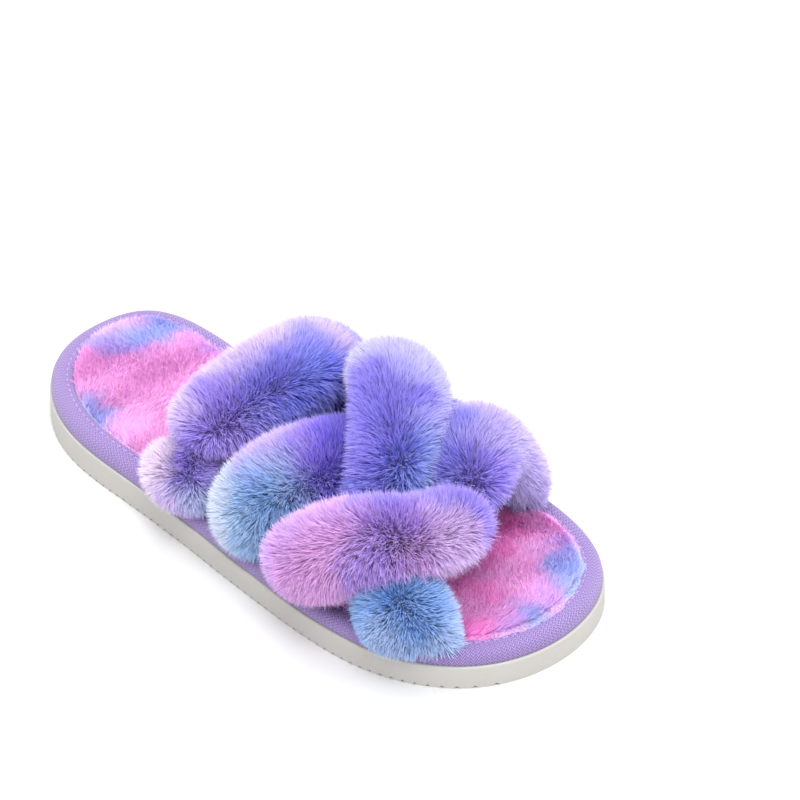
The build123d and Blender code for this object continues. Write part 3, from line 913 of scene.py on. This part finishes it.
class SLIPPER_OT_edge_binding(bpy.types.Operator):
    """The knitted tape turned over the rim, and its row of stitches"""

    bl_idname = "slipper.edge_binding"
    bl_label = "Edge Binding"

    def execute(self, context):
        dyes, sizes = context.scene.slipper_dyes, context.scene.slipper_sizes
        rim, run = rim_of("edge_binding", 12.5 * MM)
        inward = inward_of(rim)
        # How far in from the binding's widest line and how high above the seat, in millimetres.
        section = (
            (6.6, 0.05), (3.0, 0.03), (0.4, 0.04), (0.08, 0.25), (0.0, 1.1), (0.0, 2.2),
            (0.18, 3.2), (0.65, 4.2), (1.4, 5.0), (2.4, 5.5), (3.6, 5.75), (4.8, 5.8),
            (5.7, 5.7), (6.05, 5.45), (6.4, 5.7), (7.2, 5.75), (8.0, 5.4), (8.45, 4.9),
            (8.5, 4.1), (8.0, 4.02), (1.75, 4.02), (1.72, 3.5), (1.72, 0.5), (2.4, 0.42), (6.6, 0.68),
        )
        bm = bmesh.new()
        station = bm.verts.layers.int.new("station")
        ring = bmesh.ops.create_circle(bm, segments=len(rim), radius=1.0)["verts"]
        for number, vert in enumerate(ring):
            vert[station] = number
        first = edges = list(bm.edges)
        loops = []
        for row, (inset, height) in enumerate(section):
            if row:
                made_now = bmesh.ops.extrude_edge_only(bm, edges=edges)["geom"]
                ring = [item for item in made_now if isinstance(item, bmesh.types.BMVert)]
                edges = [item for item in made_now if isinstance(item, bmesh.types.BMEdge)]
            for vert in ring:
                spot = rim[vert[station]] + inward[vert[station]] * inset * MM
                vert.co = (spot[0], spot[1], seat_height(spot[1]) + height * MM)
            loops.append(ring)
        bmesh.ops.bridge_loops(bm, edges=first + edges)
        bmesh.ops.recalc_face_normals(bm, faces=bm.faces)
        # The map that the knit follows: columns along the rim, rows across the tape.
        layer = bm.loops.layers.uv.new("knit")
        bm.verts.index_update()
        across = [0.0]
        for (a, b), (c, d) in zip(section, section[1:] + section[:1]):
            across.append(across[-1] + math.hypot(c - a, d - b))
        count = len(rim)
        columns = round(run / sizes.knit_pitch)
        order = {vert: (k, vert[station]) for k, ring in enumerate(loops) for vert in ring}
        for face in bm.faces:
            spots = [order[loop.vert] for loop in face.loops]
            wraps_round = max(i for _, i in spots) - min(i for _, i in spots) > count / 2
            wraps_over = max(k for k, _ in spots) - min(k for k, _ in spots) > len(section) / 2
            for loop, (k, i) in zip(face.loops, spots):
                step = i + count if wraps_round and i < count / 2 else i
                ring_place = across[-1] if wraps_over and k == 0 else across[k]
                loop[layer].uv = (step / count * columns, ring_place / (sizes.knit_pitch / MM) * 1.5)
        tape = piece_from(bm, "edge_binding_tape", knit_material("Knitted Binding", dyes.binding))
        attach(tape, "root")
        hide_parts("edge_binding")

        stitch_rim = rim + inward * 6.05 * MM
        closed = np.vstack([stitch_rim, stitch_rim[:1]])
        lengths = np.r_[0, np.cumsum(np.linalg.norm(np.diff(closed, axis=0), axis=1))]
        stitches = round(lengths[-1] / sizes.stitch_pitch)
        bm = bmesh.new()
        for number in range(stitches):
            at = (number + 0.5) / stitches * lengths[-1]
            x, y = (np.interp(at, lengths, closed[:, i]) for i in (0, 1))
            x2, y2 = (np.interp(min(at + MM, lengths[-1]), lengths, closed[:, i]) for i in (0, 1))
            turn = Matrix.Rotation(math.atan2(y2 - y, x2 - x), 4, "Z")
            size = Matrix.Diagonal((0.40 * sizes.stitch_pitch, 0.28 * MM, 0.22 * MM, 1.0))
            place = Matrix.Translation((x, y, seat_height(y) + 5.62 * MM))
            bmesh.ops.create_uvsphere(
                bm, u_segments=6, v_segments=4, radius=1.0, matrix=place @ turn @ size
            )
        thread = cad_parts["end_stitches"].material_slots[0].material
        seam = piece_from(bm, "binding_stitches", thread)
        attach(seam, "root")
        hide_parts("binding_thread")
        made["rim"] = rim
        return {"FINISHED"}


MOST_TRIANGLES = 190000  # in one piece of pile
SHORTEST_SHARE = 0.28  # of its length that pressed pile keeps


class SLIPPER_OT_roll_pile(bpy.types.Operator):
    """Long pile of the rolls"""

    bl_idname = "slipper.roll_pile"
    bl_label = "Roll Pile"

    def execute(self, context):
        sizes = context.scene.slipper_sizes
        rng = np.random.default_rng(sizes.seed)
        # Root Shade 0.80 darkens each fibre towards its root: painted shade deep in the pile.
        material = fibre_material("Long Pile", 0.80, 0.32, 0.3)
        density = sizes.pile_density * 1.0
        wide = sizes.pile_width * 1.0
        for roll in ROLLS:
            mesh = made[roll].data

            def facing(normals, middles):
                under = (normals[:, 2] < -0.35) & (np.abs(middles[:, 0]) < 44 * MM)
                return np.where(under, 0.3, 1.0)

            place, normal = scattered(mesh, density, rng, facing)
            count = len(place)
            # The pile is a little uneven, with a few long fibres, and shorter at the rolls' feet.
            length = sizes.pile_length * (0.86 + 0.22 * rng.random(count))
            length *= np.where(rng.random(count) < 0.04, 1.18, 1.0)
            above = place[:, 2] - seat_height(place[:, 1])
            length *= 0.62 + 0.38 * np.clip((above - 6 * MM) / (15 * MM), 0, 1)
            width = wide * (0.8 + 0.4 * rng.random(count))
            middle, tip, side = fibres(
                place, normal, length, width, rng, 0.24, 0.28, 3.4 * MM, 0.16, 0.10, 0.8
            )
            # Where rolls press together the pile is short, and inside another roll there is none.
            keep = np.ones(count, bool)
            allowed = np.ones(count)
            for other in ROLLS:
                if other == roll:
                    continue
                grid = distance_grids[other]
                keep &= distances(grid, place) > 0.4 * MM
                for share in (1.0, 0.8, 0.6, 0.4):
                    inside = distances(grid, place + (tip - place) * share) < 1.2 * MM
                    allowed = np.where(inside, np.minimum(allowed, share - 0.15), allowed)
            floor = seat_height(tip[:, 1]) + 5.4 * MM
            outside = beyond_rim(made["rim"], tip[:, :2])
            low = (tip[:, 2] < floor) & ~outside
            tip[:, 2] = np.where(low, floor, tip[:, 2])
            middle[:, 2] = np.where(low, np.maximum(middle[:, 2], floor), middle[:, 2])
            tip[:, 2] = np.maximum(tip[:, 2], 9 * MM)
            keep &= place[:, 2] > seat_height(place[:, 1]) + 4.2 * MM
            allowed = np.maximum(allowed, SHORTEST_SHARE)
            for creased, centre, way, depth, half_width in CREASES:
                if creased == roll and depth > 0:
                    apart = place - np.array(centre) * MM
                    along = apart @ (np.array(way) / np.linalg.norm(way))
                    near = np.exp(-((along / (half_width * MM)) ** 2) / 2)
                    near *= np.linalg.norm(apart, axis=1) < 26 * MM
                    allowed = allowed * (1 - 0.5 * near)
            allowed = allowed[:, None]
            middle = place + (middle - place) * allowed
            tip = place + (tip - place) * allowed
            dye = dyes_at(place + normal * 4 * MM, ROLL_DYES[roll], 4.5 * MM)
            dye[:, :3] = np.minimum(dye[:, :3] * ROLL_DYE_SCALES[roll], 1.0)
            tone = rng.random(count)
            keep = np.flatnonzero(keep)
            # Pieces along the roll, each small enough to be written out whole.
            parts = max(1, math.ceil(len(keep) * 3 / MOST_TRIANGLES))
            order = keep[np.argsort(place[keep, 0], kind="stable")]
            for number, part in enumerate(np.array_split(order, parts)):
                pile = pile_piece(
                    "%s_pile_%d" % (roll, number + 1), material,
                    place[part], middle[part], tip[part], side[part], dye[part], tone[part],
                )
                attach(pile, "root")
        return {"FINISHED"}


def beyond_rim(rim, places):
    """Which places lie outside the binding, seen from above."""
    angles = np.arctan2(rim[:, 1], rim[:, 0])
    order = np.argsort(angles)
    reach = np.linalg.norm(rim, axis=1)[order]
    angle = np.arctan2(places[:, 1], places[:, 0])
    edge = np.interp(angle, angles[order], reach, period=2 * math.pi)
    return np.linalg.norm(places, axis=1) > edge


class SLIPPER_OT_insole_pile(bpy.types.Operator):
    """Short pile of the insole"""

    bl_idname = "slipper.insole_pile"
    bl_label = "Insole Pile"

    def execute(self, context):
        sizes = context.scene.slipper_sizes
        rng = np.random.default_rng(sizes.seed + 1)
        material = fibre_material("Short Pile", 1.0, 0.10, 0.2)
        density = sizes.insole_density * 1.0

        def facing(normals, middles):
            return np.where(normals[:, 2] > 0.1, 1.0, 0.0) * np.where(middles[:, 2] > 13 * MM, 1.0, 0.0)

        place, normal = scattered(made["insole"].data, density, rng, facing)
        count = len(place)
        length = sizes.insole_length * (0.8 + 0.4 * rng.random(count))
        width = sizes.insole_width * 1.0 * (0.8 + 0.4 * rng.random(count))
        normal = unit(normal + np.array([0, 0, 1.0]))
        _, tip, side = fibres(
            place, normal, length, width, rng, 0.45, 0.30, 3.0 * MM, 0.55, 0.0, 0.35
        )
        rim = made["rim"] + inward_of(made["rim"]) * 9.0 * MM
        keep = ~beyond_rim(rim, place[:, :2])
        for roll in ROLLS:
            keep &= distances(distance_grids[roll], place) > 0.6 * MM
            keep &= distances(distance_grids[roll], tip) > 0.2 * MM
        dye = dyes_at(place, INSOLE_DYES, 4.0 * MM)
        tone = rng.random(count)
        keep = np.flatnonzero(keep)
        parts = max(1, math.ceil(len(keep) / MOST_TRIANGLES))
        order = keep[np.argsort(place[keep, 1], kind="stable")]
        for number, part in enumerate(np.array_split(order, parts)):
            pile = pile_piece(
                "insole_pile_%d" % (number + 1), material,
                place[part], None, tip[part], side[part], dye[part], tone[part],
            )
            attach(pile, "root")
        return {"FINISHED"}


STEPS = (
    SLIPPER_OT_stage,
    SLIPPER_OT_plain_parts,
    SLIPPER_OT_roll_bodies,
    SLIPPER_OT_insole_cushion,
    SLIPPER_OT_edge_binding,
    SLIPPER_OT_roll_pile,
    SLIPPER_OT_insole_pile,
)


class SLIPPER_PT_steps(bpy.types.Panel):
    """The slipper's steps, sizes and dyes"""

    bl_idname = "SLIPPER_PT_steps"
    bl_label = "Fluffy House Slipper"
    bl_space_type = "VIEW_3D"
    bl_region_type = "UI"
    bl_category = "Slipper"

    def draw(self, context):
        for step in STEPS:
            self.layout.operator(step.bl_idname)
        for group in (context.scene.slipper_sizes, context.scene.slipper_dyes):
            for name in group.__annotations__:
                self.layout.prop(group, name)


CLASSES = (SlipperDyes, SlipperSizes) + STEPS + (SLIPPER_PT_steps,)


def register():
    for cls in CLASSES:
        bpy.utils.register_class(cls)
    bpy.types.Scene.slipper_dyes = bpy.props.PointerProperty(type=SlipperDyes)
    bpy.types.Scene.slipper_sizes = bpy.props.PointerProperty(type=SlipperSizes)


def unregister():
    del bpy.types.Scene.slipper_sizes
    del bpy.types.Scene.slipper_dyes
    for cls in reversed(CLASSES):
        bpy.utils.unregister_class(cls)


def main():
    register()
    for step in STEPS:
        group, name = step.bl_idname.split(".")
        getattr(getattr(bpy.ops, group), name)()


if __name__ == "__main__":
    main()
